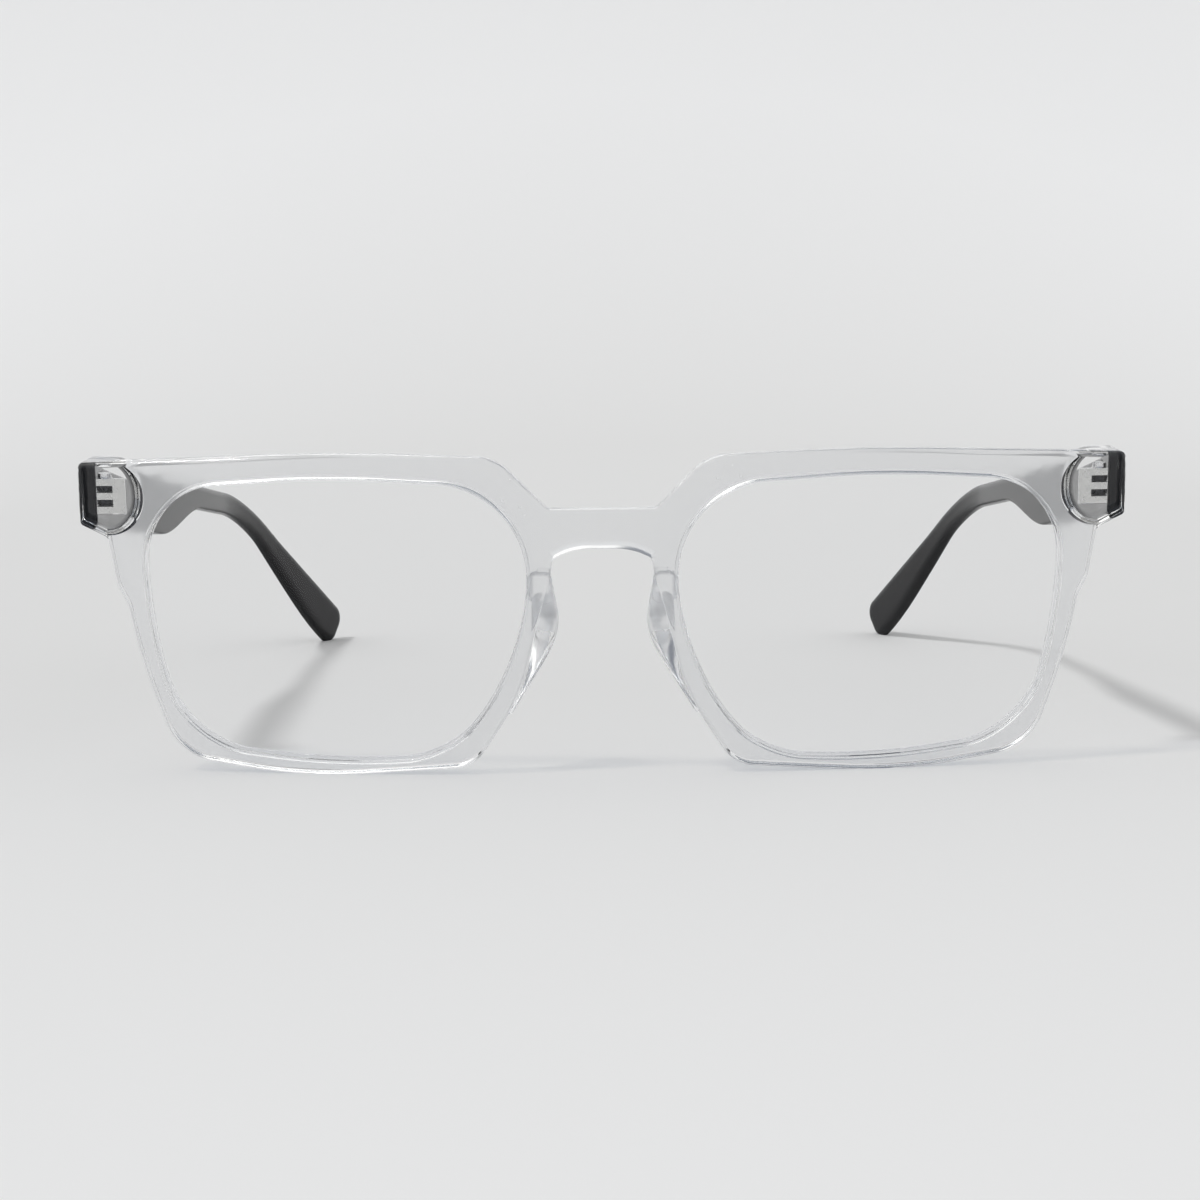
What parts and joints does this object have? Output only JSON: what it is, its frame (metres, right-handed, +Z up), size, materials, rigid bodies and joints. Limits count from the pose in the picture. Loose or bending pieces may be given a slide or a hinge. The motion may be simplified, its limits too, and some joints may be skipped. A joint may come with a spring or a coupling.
{
  "type": "rectangular eyeglasses",
  "caption": "Rectangular eyeglasses: a clear moulded front with moulded nose pads and clear lenses, and black temples that fold on metal barrel hinges.",
  "frame": {"origin": "on the surface that the folded-open eyeglasses stand on, under the middle of their bounding box", "axes": "+X towards the wearer's left, +Y from the front back along the temples, +Z up"},
  "size_m": [0.14, 0.1454, 0.0431],
  "materials": {
    "frame": "clear, polished",
    "lens": "clear, polished",
    "leaf": "bright",
    "screw": "bright",
    "temple": "satin"
  },
  "bodies": {
    "front": {"front_frame": "frame", "right_lens": "lens", "left_lens": "lens", "right_front_hinge_leaf": "leaf", "left_front_hinge_leaf": "leaf", "right_hinge_screw": "screw", "left_hinge_screw": "screw"},
    "temple_left": {"left_temple": "temple", "left_temple_hinge_leaf": "leaf"},
    "temple_right": {"right_temple": "temple", "right_temple_hinge_leaf": "leaf"}
  },
  "joints": [
    {"name": "left_temple_fold", "type": "hinge", "parent": "front", "child": "temple_left", "pos_m": [0.06683, -0.05643, 0.03757], "axis": [0, -0.0775, 0.997], "range_deg": [0, 88]},
    {"name": "right_temple_fold", "type": "hinge", "parent": "front", "child": "temple_right", "pos_m": [-0.06683, -0.05643, 0.03757], "axis": [0, 0.0775, -0.997], "range_deg": [0, 84]}
  ]
}
